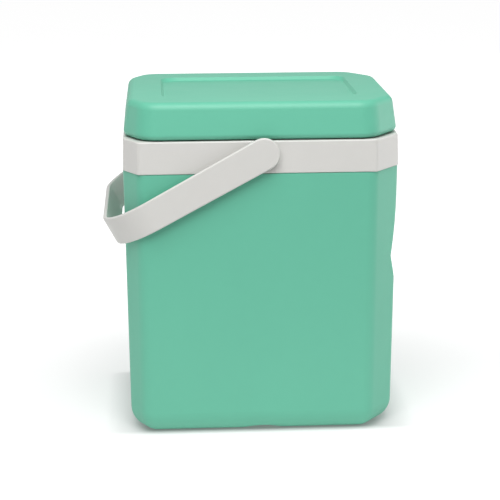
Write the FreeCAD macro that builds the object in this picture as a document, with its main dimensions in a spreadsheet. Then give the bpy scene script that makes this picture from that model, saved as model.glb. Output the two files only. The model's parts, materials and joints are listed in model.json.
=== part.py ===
"""A small insulated picnic cooler: tapered shell, collar band, lift-off lid and a swinging bail.

Frame, in millimetres: origin at the centre of the base, X to the right, Y to the back, Z up.
The bail is drawn at rest, swung down to the left (-X). Its pivots lie on a line along Y.
"""

import FreeCAD, Part
import Sketcher
import math
import os

V = FreeCAD.Vector
DOC = FreeCAD.newDocument("PicnicCooler")

# ---------------------------------------------------------------- driving dimensions
SIZES = {
    # outer form
    "body_width": (280.0, "width over the collar"),
    "body_depth": (228.0, "depth over the collar"),
    "shell_height": (275.0, "base to the collar's lower edge"),
    "base_inset": (3.5, "how far each wall leans in by the base"),
    "left_facet_width": (15.0, "facet of the two left corners, along X"),
    "left_facet_depth": (26.0, "facet of the two left corners, along Y"),
    "right_facet_width": (26.0, "facet of the two right corners, along X"),
    "right_facet_depth": (34.0, "facet of the two right corners, along Y"),
    "corner_blend": (14.0, "radius between facet and wall"),
    "base_round": (24.0, "radius of the shell's lower edge"),
    # shell
    "shell_wall": (2.5, "shell wall"),
    "floor_thickness": (8.5, "shell floor, at its resting ring"),
    "base_recess": (5.5, "depth of the recess under the floor"),
    "ring_width": (34.0, "resting ring, from the shell's outline inwards"),
    "notch_width": (50.0, "finger notch under the front and back edges"),
    "notch_height": (6.5, "height of the finger notch"),
    "notch_reach": (30.0, "how far the notch reaches in, from the collar's outline"),
    "tongue_height": (8.0, "shell rim that stands inside the collar"),
    "tongue_wall": (2.8, "thickness of that rim"),
    "scoop_drop": (16.0, "shell's upper edge to the start of the scoop in the right wall"),
    "scoop_length": (78.0, "height over which the scoop deepens"),
    "scoop_depth": (5.5, "deepest point of the scoop"),
    "scoop_ramp": (26.0, "height over which it runs out again"),
    # collar
    "collar_height": (33.0, "height of the collar band"),
    "collar_inset": (0.8, "how far the band leans in by its top"),
    "collar_wall": (3.0, "wall of the band"),
    "collar_blend": (5.0, "radius between the band's facets and sides"),
    "collar_top_round": (1.5, "radius along the band's top edge"),
    "collar_low_round": (1.0, "radius along the band's lower edge"),
    "shelf_thickness": (2.5, "web under the liner's flange"),
    "seam_gap": (0.3, "visible joint lines and fitting gaps"),
    # liner
    "liner_inset": (26.0, "collar's outline to the outside of the liner"),
    "liner_wall": (2.0, "wall of the liner"),
    "liner_taper": (6.0, "how far the liner leans in by its floor"),
    "liner_corner": (26.0, "liner's upright corners, outside"),
    "liner_round": (14.0, "liner's lower edge, outside"),
    "foam_floor": (21.5, "foam between the shell's floor and the liner"),
    "flange_width": (14.0, "liner's flange, out from its wall"),
    # lid
    "lid_gap": (1.0, "collar's top to the lid's lower edge"),
    "lid_height": (37.0, "height of the lid's cover"),
    "lid_inset": (0.6, "collar's outline to the lid's outline, at its lower edge"),
    "lid_lean": (5.4, "how far the lid's sides lean in by its top"),
    "lid_wall": (2.5, "wall of the lid's cover"),
    "lid_left_facet_width": (18.0, "the lid's left facets, along X"),
    "lid_left_facet_depth": (36.0, "the lid's left facets, along Y"),
    "lid_right_facet_width": (28.0, "the lid's right facets, along X"),
    "lid_right_facet_depth": (40.0, "the lid's right facets, along Y"),
    "lid_blend": (26.0, "radius between the lid's facets and sides"),
    "lid_top_round": (8.0, "radius round the lid's top"),
    "lid_low_round": (5.0, "radius round the lid's lower edge"),
    "lid_rim": (9.0, "lower edge of the cover, from its outline to the panel"),
    "tray_margin_x": (34.0, "recess in the top, from the lid's top outline, along X"),
    "tray_margin_y": (38.0, "recess in the top, from the lid's top outline, along Y"),
    "tray_depth": (3.5, "depth of that recess"),
    "tray_slope": (3.0, "how far its side leans in"),
    "tray_corner": (22.0, "its corner radius"),
    "tray_soften": (2.0, "radius round its floor"),
    "plug_depth": (22.0, "how far the lid's plug enters the liner"),
    "plug_gap": (1.0, "plug to liner, all round"),
    "plug_taper": (1.5, "how far the plug leans in by its underside"),
    "plug_round": (4.0, "radius round the plug's underside"),
    # bail and its pivots
    "pivot_rise": (21.0, "collar's lower edge to the bail's pivots"),
    "rest_angle": (28.7, "bail below the horizontal at rest"),
    "grip_gap": (3.7, "grip's nearest edge at rest to the plane of the collar's side"),
    "bail_gap": (4.0, "collar to the inner face of each arm"),
    "strap_thickness": (4.5, "thickness of the bail's strap"),
    "strap_width": (30.0, "width of the strap at the grip"),
    "bend_radius": (50.0, "outer radius of the bail's bends"),
    "hub_radius": (16.2, "round end of each arm"),
    "strap_round": (1.6, "radius along the strap's edges"),
    "boss_radius": (12.5, "spacer behind the round end"),
    "peg_radius": (5.0, "pivot peg"),
    "peg_length": (9.0, "pivot peg, into the socket"),
    "barb_height": (0.9, "how far the barb round the peg's end stands out"),
    "barb_length": (2.0, "length of the barb"),
    "running_gap": (0.05, "peg to bore, in radius"),
    "socket_wall": (2.3, "wall of the pivot socket, round the barb's groove"),
    "socket_length": (13.5, "length of the pivot socket"),
    "socket_flange": (2.0, "how far the socket's flange stands out"),
    "flange_thickness": (1.6, "thickness of that flange"),
    # filler plugs
    "filler_radius": (9.0, "stem of the foam filler plugs"),
    "filler_head": (12.5, "head of the foam filler plugs"),
    "head_thickness": (1.2, "thickness of that head"),
    # making
    "trim_spare": (1.0, "how far a blank runs past the outline that trims it"),
}

# Limits for finding edges and faces, and for checking a cut.
EDGE_TOLERANCE = 0.1  # mm
LEVEL_TOLERANCE = 0.05  # mm
JOINT_TOLERANCE = 1e-6  # mm
SIDE_LIMIT = 0.5  # a face is a side if its normal rises or falls by less than this
RISE_SHARE = 0.6  # an edge goes upwards if its height is more than this share of its length
LEAST_CUT = 1.0  # mm3

SHEET = DOC.addObject("Spreadsheet::Sheet", "Sizes")
for row, (alias, (value, meaning)) in enumerate(SIZES.items(), start=1):
    SHEET.set(f"A{row}", meaning)
    SHEET.set(f"B{row}", str(value))
    SHEET.setAlias(f"B{row}", alias)
DOC.recompute()

# Expressions that several pieces share.
HALF_W = "Sizes.body_width / 2"
HALF_D = "Sizes.body_depth / 2"
COLLAR_TOP = "(Sizes.shell_height + Sizes.collar_height)"
LID_BASE = f"({COLLAR_TOP} + Sizes.lid_gap)"
LID_TOP = f"({LID_BASE} + Sizes.lid_height)"
PANEL_TOP = f"({LID_BASE} + Sizes.lid_wall)"
LID_VOID_TOP = f"({LID_TOP} - Sizes.tray_depth - Sizes.lid_wall)"
FLANGE_BASE = f"({COLLAR_TOP} - Sizes.liner_wall)"
SHELF_BASE = f"({FLANGE_BASE} - Sizes.shelf_thickness)"
SHOULDER_BASE = "(Sizes.shell_height - Sizes.shell_wall)"
TONGUE_TOP = "(Sizes.shell_height + Sizes.tongue_height)"
TONGUE_OUT = "(Sizes.collar_wall + Sizes.seam_gap)"
TONGUE_IN = f"({TONGUE_OUT} + Sizes.tongue_wall)"
LINER_IN = "(Sizes.liner_inset + Sizes.liner_wall)"
LINER_FLOOR = "(Sizes.floor_thickness + Sizes.foam_floor)"
LINER_HEIGHT = f"({COLLAR_TOP} - {LINER_FLOOR})"
SCOOP_TOP = "(Sizes.shell_height - Sizes.scoop_drop)"
PIVOT_HEIGHT = "(Sizes.shell_height + Sizes.pivot_rise)"
BARB_RADIUS = "(Sizes.peg_radius + Sizes.barb_height)"
SOCKET_RADIUS = f"({BARB_RADIUS} + Sizes.seam_gap + Sizes.socket_wall)"
# At rest the strap's lower inside edge is the nearest part of the grip to the wall.
BAIL_REACH = (f"(({HALF_W} + Sizes.grip_gap + Sizes.strap_width / 2 * sin(Sizes.rest_angle * 1 deg))"
              " / cos(Sizes.rest_angle * 1 deg) + Sizes.strap_thickness)")


def size(expression):
    """The value of an expression on the sheet, for code that needs a number."""
    return float(SHEET.evalExpression(expression))


# ---------------------------------------------------------------- sketch and feature helpers
def new_body(label):
    body = DOC.addObject("PartDesign::Body", label)
    body.Label = label
    return body


def attach(sketch, body, role, height=None):
    """Lay a sketch on one of its body's origin planes, raised by an expression."""
    plane = next(f for f in body.Origin.OriginFeatures if f.Role == role)
    sketch.AttachmentSupport = [(plane, "")]
    sketch.MapMode = "FlatFace"
    if height is not None:
        sketch.setExpression("AttachmentOffset.Base.z", height)


def end_at(sketch, side, point):
    """Which end of a side lies at a point: the sketcher runs every arc anticlockwise."""
    return 1 if sketch.getPoint(side, 1).distanceToPoint(point) < JOINT_TOLERANCE else 2


def add_loop(sketch, points, middles=None, smooth=False):
    """Closed outline through the points, side i from point i to the next; returns its first side's index.

    middles holds, by a side's number, a point that it passes through, which makes that side an arc. In a
    smooth outline, arcs are tangent to the sides beside them.
    """
    middles = middles or {}
    first = sketch.GeometryCount
    count = len(points)
    corners = [V(x, y, 0) for x, y in points]
    for i, start in enumerate(corners):
        end = corners[(i + 1) % count]
        if i in middles:
            sketch.addGeometry(Part.Arc(start, V(*middles[i], 0), end), False)
        else:
            sketch.addGeometry(Part.LineSegment(start, end), False)
    for i in range(count):
        after = (i + 1) % count
        joint = [(first + side, end_at(sketch, first + side, corners[after])) for side in (i, after)]
        kind = "Tangent" if smooth and (i in middles or after in middles) else "Coincident"
        sketch.addConstraint(Sketcher.Constraint(kind, *joint[0], *joint[1]))
    return first


def bind(sketch, kind, place, expression, name):
    """Add a distance from the sketch's origin or between two points, or a radius, tied to an expression."""
    index = sketch.addConstraint(Sketcher.Constraint(kind, *place, size(expression)))
    sketch.renameConstraint(index, name)
    sketch.setExpression(f"Constraints.{name}", expression)


def mirror_points(sketch, pairs, axis):
    """Make point pairs symmetric about the sketch's H axis (-1) or V axis (-2)."""
    for (line_a, end_a), (line_b, end_b) in pairs:
        sketch.addConstraint(Sketcher.Constraint("Symmetric", line_a, end_a, line_b, end_b, axis))


def faceted_outline(body, name, half_w, half_d, height, facets=""):
    """Eight-sided outline: a rectangle with its corners cut to flat facets, larger ones at the right.

    facets is what the names of the facets' sizes begin with.
    """
    sketch = body.newObject("Sketcher::SketchObject", name)
    attach(sketch, body, "XY_Plane", height)
    w, d = size(half_w), size(half_d)
    left, right = f"Sizes.{facets}left_facet", f"Sizes.{facets}right_facet"
    upper = [(w, d - size(f"{right}_depth")), (w - size(f"{right}_width"), d),
             (size(f"{left}_width") - w, d), (-w, d - size(f"{left}_depth"))]
    add_loop(sketch, upper + [(x, -y) for x, y in reversed(upper)])
    mirror_points(sketch, [((0, 1), (7, 1)), ((1, 1), (6, 1)), ((2, 1), (5, 1)), ((3, 1), (4, 1))], -1)
    sketch.addConstraint(Sketcher.Constraint("Horizontal", 1))
    bind(sketch, "DistanceX", (-1, 1, 0, 1), half_w, "half_width")
    bind(sketch, "DistanceX", (3, 1, -1, 1), half_w, "left_half_width")
    bind(sketch, "DistanceY", (-1, 1, 1, 1), half_d, "half_depth")
    bind(sketch, "DistanceX", (1, 1, 0, 1), f"{right}_width", "right_facet_width")
    bind(sketch, "DistanceY", (0, 1, 1, 1), f"{right}_depth", "right_facet_depth")
    bind(sketch, "DistanceX", (3, 1, 2, 1), f"{left}_width", "left_facet_width")
    bind(sketch, "DistanceY", (3, 1, 2, 1), f"{left}_depth", "left_facet_depth")
    return sketch


def box_outline(body, name, half_w, half_d, height):
    """Rectangle centred on the origin."""
    sketch = body.newObject("Sketcher::SketchObject", name)
    attach(sketch, body, "XY_Plane", height)
    w, d = size(half_w), size(half_d)
    add_loop(sketch, [(w, d), (-w, d), (-w, -d), (w, -d)])
    mirror_points(sketch, [((0, 1), (1, 1)), ((2, 1), (3, 1))], -2)
    mirror_points(sketch, [((0, 1), (3, 1))], -1)
    bind(sketch, "DistanceX", (-1, 1, 0, 1), half_w, "half_width")
    bind(sketch, "DistanceY", (-1, 1, 0, 1), half_d, "half_depth")
    return sketch


def circle_outline(body, name, radius, height):
    """Circle round the origin."""
    sketch = body.newObject("Sketcher::SketchObject", name)
    attach(sketch, body, "XY_Plane", height)
    sketch.addGeometry(Part.Circle(V(0, 0, 0), V(0, 0, 1), size(radius)), False)
    sketch.addConstraint(Sketcher.Constraint("Coincident", 0, 3, -1, 1))
    bind(sketch, "Radius", (0,), radius, "radius")
    return sketch


def feature(body, kind, name, **links):
    made = body.newObject(f"PartDesign::{kind}", name)
    for key, value in links.items():
        setattr(made, key, value)
    return made


def pad(body, name, sketch, length, kind="Pad", **settings):
    """Pad or pocket with its length tied to the sheet; a pocket has to remove something."""
    before = body.Shape.Volume if kind == "Pocket" else 0.0
    made = feature(body, kind, name, Profile=sketch, **settings)
    made.setExpression("Length", length)
    DOC.recompute()
    if kind == "Pocket" and body.Shape.Volume > before - LEAST_CUT:
        raise RuntimeError(f"{body.Label}: {name} cuts nothing")
    return made


def faces(shape, test):
    return [f"Face{i}" for i, face in enumerate(shape.Faces, start=1) if test(face)]


def drafted(body, name, sketch, height, lean, over, outward):
    """Pad whose sides all lean by the same angle: lean is the offset gained over a height.

    The sketch's plane is the neutral plane. outward makes the block wider towards its top.
    """
    block = pad(body, name, sketch, height)
    sides = faces(block.Shape, lambda face: abs(face.normalAt(0, 0).z) < SIDE_LIMIT)
    start = faces(block.Shape, lambda face: face.normalAt(0, 0).z < -SIDE_LIMIT)
    made = feature(body, "Draft", f"{name}_draft", Base=(block, sides), NeutralPlane=(block, start),
                   Reversed=outward)
    made.setExpression("Angle", f"atan({lean} / {over})")
    DOC.recompute()
    return made


def edges(shape, test):
    return [f"Edge{i}" for i, edge in enumerate(shape.Edges, start=1) if test(edge)]


def fillet(body, name, radius, test):
    """Round the tip's edges that pass the test."""
    base = body.Tip
    chosen = edges(base.Shape, test)
    if not chosen:
        raise RuntimeError(f"{body.Label}: {name} finds no edge")
    made = feature(body, "Fillet", name, Base=(base, chosen))
    made.setExpression("Radius", radius)
    DOC.recompute()
    return made


def rises(edge):
    """True for an edge that runs mostly upwards."""
    return edge.BoundBox.ZLength > RISE_SHARE * edge.Length


def climbs(height):
    """A test for edges that go all the way up a height, however they slant."""
    return lambda edge: edge.BoundBox.ZLength > height - EDGE_TOLERANCE


def level_at(height):
    """A test for edges that lie flat at one height."""
    def test(edge):
        box = edge.BoundBox
        return max(abs(box.ZMin - height), abs(box.ZMax - height)) < LEVEL_TOLERANCE
    return test


def upright_at(reach):
    """A test for upright edges at one distance to the left or right of the middle."""
    def test(edge):
        box = edge.BoundBox
        upright = abs(box.ZLength - edge.Length) < EDGE_TOLERANCE
        return upright and abs(max(box.XMax, -box.XMin) - reach) < EDGE_TOLERANCE
    return test


def cut(label, base, *tools):
    """Boolean cut of one solid by others, as document objects."""
    result = base
    for count, tool in enumerate(tools, start=1):
        last = count == len(tools)
        made = DOC.addObject("Part::Cut", label if last else f"{label}_cut_{count}")
        made.Base = result
        made.Tool = tool
        made.Refine = True
        result = made
    result.Label = label
    DOC.recompute()
    return result


def fuse(label, base, tool):
    made = DOC.addObject("Part::Fuse", label)
    made.Base = base
    made.Tool = tool
    made.Refine = True
    DOC.recompute()
    return made


# ---------------------------------------------------------------- shell
def scoop_cut(body, name, set_back):
    """Shallow scoop across the right wall: an arc that leaves the wall gently, then a ramp out.

    set_back moves the profile inwards, so that the cavity follows the scoop at the wall's thickness.
    """
    wall = f"({HALF_W} - {set_back})"
    top, deep = SCOOP_TOP, f"({SCOOP_TOP} - Sizes.scoop_length)"
    lean = "(Sizes.base_inset / Sizes.shell_height)"
    wall_top = f"({wall} - {lean} * (Sizes.shell_height - {top}))"
    wall_deep = f"({wall} - {lean} * (Sizes.shell_height - {deep}) - Sizes.scoop_depth)"
    low = f"({deep} - Sizes.scoop_ramp)"
    wall_low = f"({wall} - {lean} * (Sizes.shell_height - {low}))"
    beyond = f"({HALF_W} + Sizes.scoop_depth)"
    places = [(wall_top, top), (wall_deep, deep), (wall_low, low), (beyond, low), (beyond, top)]
    points = [(size(x), size(z)) for x, z in places]
    (top_x, top_z), (deep_x, deep_z) = points[:2]
    # The arc leaves the wall along it, so at half its height it is a quarter of the depth in.
    middle = (top_x - (top_x - deep_x) / 4, (top_z + deep_z) / 2)
    sketch = body.newObject("Sketcher::SketchObject", f"{name}_profile")
    attach(sketch, body, "XZ_Plane")
    add_loop(sketch, points, {0: middle})
    corners = [(4, 2), (1, 1), (2, 1), (3, 1), (4, 1)]
    for i, ((side, end), (x, z)) in enumerate(zip(corners, places)):
        bind(sketch, "DistanceX", (-1, 1, side, end), x, f"across_{i}")
        bind(sketch, "DistanceY", (-1, 1, side, end), z, f"up_{i}")
    bind(sketch, "Radius", (0,), "(Sizes.scoop_length ^ 2 / Sizes.scoop_depth + Sizes.scoop_depth) / 2",
         "radius")
    return pad(body, name, sketch, "Sizes.body_depth * 2", "Pocket", Midplane=True)


def shell_blank():
    """Outside of the shell, solid: tapered walls, round lower edge, scoop, and the rim for the collar."""
    body = new_body("shell_blank")
    base = faceted_outline(body, "base_outline", f"{HALF_W} - Sizes.base_inset",
                           f"{HALF_D} - Sizes.base_inset", "0")
    drafted(body, "walls", base, "Sizes.shell_height", "Sizes.base_inset", "Sizes.shell_height", True)
    fillet(body, "corner_blends", "Sizes.corner_blend", rises)
    fillet(body, "lower_edge", "Sizes.base_round", level_at(0))
    scoop_cut(body, "scoop", "0")
    rim = faceted_outline(body, "rim_outline", f"{HALF_W} - {TONGUE_OUT}", f"{HALF_D} - {TONGUE_OUT}",
                          "Sizes.shell_height")
    pad(body, "rim", rim, "Sizes.tongue_height")
    return body


def shell_cavity():
    """Everything inside the shell and the collar that the foam and the liner share."""
    body = new_body("shell_cavity")
    wall = "Sizes.shell_wall"
    inset = f"({wall} + Sizes.base_inset * (1 - Sizes.floor_thickness / Sizes.shell_height))"
    floor = faceted_outline(body, "floor_outline", f"{HALF_W} - {inset}", f"{HALF_D} - {inset}",
                            "Sizes.floor_thickness")
    drafted(body, "room", floor, f"{SHOULDER_BASE} - Sizes.floor_thickness", "Sizes.base_inset",
            "Sizes.shell_height", True)
    fillet(body, "corner_blends", f"Sizes.corner_blend - {wall}", rises)
    fillet(body, "lower_edge", f"Sizes.base_round - {wall}", level_at(size("Sizes.floor_thickness")))
    scoop_cut(body, "scoop", wall)
    neck = faceted_outline(body, "neck_outline", f"{HALF_W} - {TONGUE_IN}", f"{HALF_D} - {TONGUE_IN}",
                           SHOULDER_BASE)
    pad(body, "neck", neck, f"{TONGUE_TOP} - {SHOULDER_BASE}")
    band = "(Sizes.collar_wall + Sizes.collar_inset)"
    head = faceted_outline(body, "head_outline", f"{HALF_W} - {band}", f"{HALF_D} - {band}", TONGUE_TOP)
    pad(body, "head", head, f"{SHELF_BASE} - {TONGUE_TOP}")
    return body


def base_cutter():
    """The recess under the floor and the filler hole."""
    body = new_body("base_cutter")
    ring = "(Sizes.ring_width + Sizes.base_inset)"
    recess = box_outline(body, "recess_outline", f"{HALF_W} - {ring}", f"{HALF_D} - {ring}", "0")
    pad(body, "recess", recess, "Sizes.base_recess")
    fillet(body, "recess_corners", "Sizes.corner_blend", rises)
    hole = circle_outline(body, "filler_hole_outline", "Sizes.filler_radius", "0")
    pad(body, "filler_hole", hole, "Sizes.floor_thickness")
    return body


def notch_cutter(label, start):
    """Finger notch under one edge: it stops short of the recess, so that the resting ring stays whole.

    start is how far in front of the middle the notch begins; it runs forwards from there.
    """
    body = new_body(label)
    notch = body.newObject("Sketcher::SketchObject", "notch_profile")
    attach(notch, body, "XZ_Plane", start)
    half, rise = size("Sizes.notch_width / 2"), size("Sizes.notch_height")
    add_loop(notch, [(-half, 0), (half, 0)], {1: (0, rise)})
    mirror_points(notch, [((0, 1), (0, 2))], -2)
    notch.addConstraint(Sketcher.Constraint("PointOnObject", 0, 1, -1))
    bind(notch, "DistanceX", (0, 1, 0, 2), "Sizes.notch_width", "notch_width")
    bind(notch, "Radius", (1,), "(Sizes.notch_width ^ 2 / 4 / Sizes.notch_height + Sizes.notch_height) / 2",
         "radius")
    pad(body, "notch", notch, "Sizes.notch_reach")
    return body


# ---------------------------------------------------------------- liner, collar
def liner_blank():
    """Outside of the liner, solid, with its flange."""
    body = new_body("liner_blank")
    inset = "(Sizes.liner_inset + Sizes.liner_taper)"
    floor = box_outline(body, "floor_outline", f"{HALF_W} - {inset}", f"{HALF_D} - {inset}",
                        LINER_FLOOR)
    drafted(body, "tub", floor, LINER_HEIGHT, "Sizes.liner_taper", LINER_HEIGHT, True)
    fillet(body, "upright_corners", "Sizes.liner_corner", rises)
    fillet(body, "lower_edge", "Sizes.liner_round", level_at(size(LINER_FLOOR)))
    edge_inset = "(Sizes.liner_inset - Sizes.flange_width)"
    flange = box_outline(body, "flange_outline", f"{HALF_W} - {edge_inset}", f"{HALF_D} - {edge_inset}",
                         FLANGE_BASE)
    pad(body, "flange", flange, "Sizes.liner_wall")
    fillet(body, "flange_corners", "Sizes.liner_corner + Sizes.flange_width / 2",
           upright_at(size(f"{HALF_W} - {edge_inset}")))
    return body


def liner_void():
    """Inside of the liner: where the food goes."""
    body = new_body("liner_void")
    height = f"({LINER_HEIGHT} - Sizes.liner_wall)"
    inset = f"({LINER_IN} + Sizes.liner_taper * {height} / {LINER_HEIGHT})"
    floor = f"({LINER_FLOOR} + Sizes.liner_wall)"
    bottom = box_outline(body, "floor_outline", f"{HALF_W} - {inset}", f"{HALF_D} - {inset}", floor)
    drafted(body, "room", bottom, height, "Sizes.liner_taper", LINER_HEIGHT, True)
    fillet(body, "upright_corners", "Sizes.liner_corner - Sizes.liner_wall", rises)
    fillet(body, "lower_edge", "Sizes.liner_round - Sizes.liner_wall", level_at(size(floor)))
    return body


def collar_blank():
    """Outside of the collar's band, solid up to its top."""
    body = new_body("collar_blank")
    start = "(Sizes.shell_height + Sizes.seam_gap)"
    low = faceted_outline(body, "low_outline", HALF_W, HALF_D, start)
    drafted(body, "band", low, f"{COLLAR_TOP} - {start}", "Sizes.collar_inset", "Sizes.collar_height", False)
    fillet(body, "corner_blends", "Sizes.collar_blend", rises)
    fillet(body, "top_edge", "Sizes.collar_top_round", level_at(size(COLLAR_TOP)))
    fillet(body, "low_edge", "Sizes.collar_low_round", level_at(size(start)))
    return body


def collar_void():
    """What the band wraps round: foam below the web, the liner's flange above it, and its opening."""
    body = new_body("collar_void")
    room = faceted_outline(body, "room_outline", f"{HALF_W} - Sizes.collar_wall",
                           f"{HALF_D} - Sizes.collar_wall", "Sizes.shell_height")
    drafted(body, "room", room, f"{SHELF_BASE} - Sizes.shell_height", "Sizes.collar_inset",
            "Sizes.collar_height", False)
    gap = "Sizes.seam_gap"
    mouth = box_outline(body, "mouth_outline", f"{HALF_W} - Sizes.liner_inset + {gap}",
                        f"{HALF_D} - Sizes.liner_inset + {gap}", SHELF_BASE)
    pad(body, "mouth", mouth, f"{COLLAR_TOP} - {SHELF_BASE}")
    fillet(body, "mouth_corners", "Sizes.liner_corner",
           upright_at(size(f"{HALF_W} - Sizes.liner_inset + {gap}")))
    edge_inset = f"(Sizes.liner_inset - Sizes.flange_width - {gap})"
    step = box_outline(body, "step_outline", f"{HALF_W} - {edge_inset}", f"{HALF_D} - {edge_inset}",
                       FLANGE_BASE)
    pad(body, "step", step, "Sizes.liner_wall")
    fillet(body, "step_corners", "Sizes.liner_corner + Sizes.flange_width / 2",
           upright_at(size(f"{HALF_W} - {edge_inset}")))
    return body


# ---------------------------------------------------------------- pivots
def turned(body, name, points):
    """Solid of revolution about the Y axis: points are (radius, y) expressions in the XY plane."""
    sketch = body.newObject("Sketcher::SketchObject", f"{name}_profile")
    attach(sketch, body, "XY_Plane")
    add_loop(sketch, [(size(r), size(y)) for r, y in points])
    for i, (r, y) in enumerate(points):
        if r == "0":
            sketch.addConstraint(Sketcher.Constraint("PointOnObject", i, 1, -2))
        else:
            bind(sketch, "DistanceX", (-1, 1, i, 1), r, f"radius_{i}")
        bind(sketch, "DistanceY", (-1, 1, i, 1), y, f"place_{i}")
    made = feature(body, "Revolution", name, Profile=sketch, ReferenceAxis=(sketch, ["V_Axis"]), Angle=360)
    DOC.recompute()
    return made


def raise_to_pivot(body):
    """Lift a body that is drawn round the pivots' line to their height."""
    body.setExpression("Placement.Base.z", PIVOT_HEIGHT)
    DOC.recompute()


PIVOT_FACE = f"({HALF_D} - Sizes.collar_inset)"
SOCKET_END = f"({PIVOT_FACE} - Sizes.socket_length)"
PEG_START = f"({HALF_D} + Sizes.bail_gap)"
PEG_END = f"({PIVOT_FACE} - Sizes.peg_length)"
BARB_START = f"({PEG_END} + Sizes.barb_length)"


def socket(label, side, bored=True):
    """Pivot socket: a closed cup set in the collar, with a flange behind the band and a barb groove.

    side is 1 for the back and -1 for the front. Unbored, it is the hole that it takes in the collar and
    the foam.
    """
    body = new_body(label)
    flange = f"({HALF_D} - Sizes.collar_wall - Sizes.collar_inset)"
    flange_back = f"({flange} - Sizes.flange_thickness)"
    wide = f"({SOCKET_RADIUS} + Sizes.socket_flange)"
    bore, groove = "(Sizes.peg_radius + Sizes.running_gap)", f"({BARB_RADIUS} + Sizes.seam_gap)"
    bore_end, groove_end = f"({PEG_END} - Sizes.seam_gap)", f"({BARB_START} + Sizes.seam_gap)"
    mouth = PIVOT_FACE if bored else f"({HALF_D} + Sizes.seam_gap)"
    outside = [("0", SOCKET_END), (SOCKET_RADIUS, SOCKET_END), (SOCKET_RADIUS, flange_back),
               (wide, flange_back), (wide, flange), (SOCKET_RADIUS, flange), (SOCKET_RADIUS, mouth)]
    bored_side = [(bore, mouth), (bore, groove_end), (groove, groove_end), (groove, bore_end),
                  ("0", bore_end)]
    points = outside + (bored_side if bored else [("0", mouth)])
    turned(body, "cup", [(r, f"{side} * {y}") for r, y in points])
    raise_to_pivot(body)
    return body


# ---------------------------------------------------------------- bail
BAIL_OUT = f"({PEG_START} + Sizes.strap_thickness)"
BAIL_TAIL = "(Sizes.hub_radius + Sizes.trim_spare)"
STRAP_BLANK = "(max(Sizes.hub_radius * 2; Sizes.strap_width) + Sizes.trim_spare * 2)"


def strap_plan(body):
    """The strap's outline from above: a U of two arms and a grip, with its bends on shared centres."""
    plan = body.newObject("Sketcher::SketchObject", "strap_plan")
    attach(plan, body, "XY_Plane")
    out_y, in_y, tail = size(BAIL_OUT), size(PEG_START), size(BAIL_TAIL)
    grip_out = -size(BAIL_REACH)
    grip_in = grip_out + size("Sizes.strap_thickness")
    bend_out = size("Sizes.bend_radius")
    bend_in = bend_out - size("Sizes.strap_thickness")
    bend_x, bend_y = grip_out + bend_out, out_y - bend_out
    half_turn = math.sqrt(0.5)
    out_x, out_rise = bend_x - bend_out * half_turn, bend_y + bend_out * half_turn
    in_x, in_rise = bend_x - bend_in * half_turn, bend_y + bend_in * half_turn
    back = [(tail, out_y), (bend_x, out_y), (grip_out, bend_y)]
    front = [(grip_out, -bend_y), (bend_x, -out_y), (tail, -out_y)]
    inside = [(tail, -in_y), (bend_x, -in_y), (grip_in, -bend_y), (grip_in, bend_y), (bend_x, in_y),
              (tail, in_y)]
    bends = {1: (out_x, out_rise), 3: (out_x, -out_rise), 7: (in_x, -in_rise), 9: (in_x, in_rise)}
    add_loop(plan, back + front + inside, bends, smooth=True)
    for level in (0, 4, 6, 10):
        plan.addConstraint(Sketcher.Constraint("Horizontal", level))
    for upright in (2, 5, 8, 11):
        plan.addConstraint(Sketcher.Constraint("Vertical", upright))
    for outer_arc, inner_arc in ((1, 9), (3, 7)):
        plan.addConstraint(Sketcher.Constraint("Coincident", outer_arc, 3, inner_arc, 3))
        bind(plan, "Radius", (outer_arc,), "Sizes.bend_radius", f"bend_{outer_arc}")
    bind(plan, "DistanceY", (-1, 1, 0, 1), BAIL_OUT, "arm_back")
    bind(plan, "DistanceY", (4, 1, -1, 1), BAIL_OUT, "arm_front")
    bind(plan, "DistanceY", (-1, 1, 10, 1), PEG_START, "arm_back_inside")
    bind(plan, "DistanceX", (2, 1, -1, 1), BAIL_REACH, "reach")
    bind(plan, "DistanceX", (-1, 1, 11, 1), BAIL_TAIL, "tail")
    bind(plan, "DistanceX", (-1, 1, 5, 1), BAIL_TAIL, "tail_front")
    return plan


def strap_trim(body):
    """What is cut off the bent blank, from the side: all that is outside a round end and its taper."""
    side = body.newObject("Sketcher::SketchObject", "strap_side")
    attach(side, body, "XZ_Plane")
    past, beyond = f"({BAIL_REACH} + Sizes.trim_spare)", f"({BAIL_REACH} + Sizes.trim_spare * 2)"
    hub, half = size("Sizes.hub_radius"), size("Sizes.strap_width / 2")
    add_loop(side, [(0, -hub), (0, hub), (-size(past), half), (-size(past), -half)],
             {0: (hub, 0)}, smooth=True)
    side.addConstraint(Sketcher.Constraint("Coincident", 0, 3, -1, 1))
    mirror_points(side, [((2, 1), (2, 2))], -1)
    bind(side, "Radius", (0,), "Sizes.hub_radius", "hub_radius")
    bind(side, "DistanceX", (2, 1, -1, 1), past, "past_grip")
    bind(side, "DistanceY", (2, 2, 2, 1), "Sizes.strap_width", "strap_width")
    rim = f"({STRAP_BLANK} / 2 + Sizes.trim_spare)"
    frame = add_loop(side, [(-size(beyond), size(rim)), (size(rim), size(rim)), (size(rim), -size(rim)),
                            (-size(beyond), -size(rim))])
    for level in (frame, frame + 2):
        side.addConstraint(Sketcher.Constraint("Horizontal", level))
    for upright in (frame + 1, frame + 3):
        side.addConstraint(Sketcher.Constraint("Vertical", upright))
    bind(side, "DistanceX", (-1, 1, frame + 1, 1), rim, "frame_right")
    bind(side, "DistanceY", (-1, 1, frame + 1, 1), rim, "frame_top")
    bind(side, "DistanceY", (frame + 2, 1, -1, 1), rim, "frame_low")
    bind(side, "DistanceX", (frame, 1, -1, 1), beyond, "frame_left")
    return side


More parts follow.
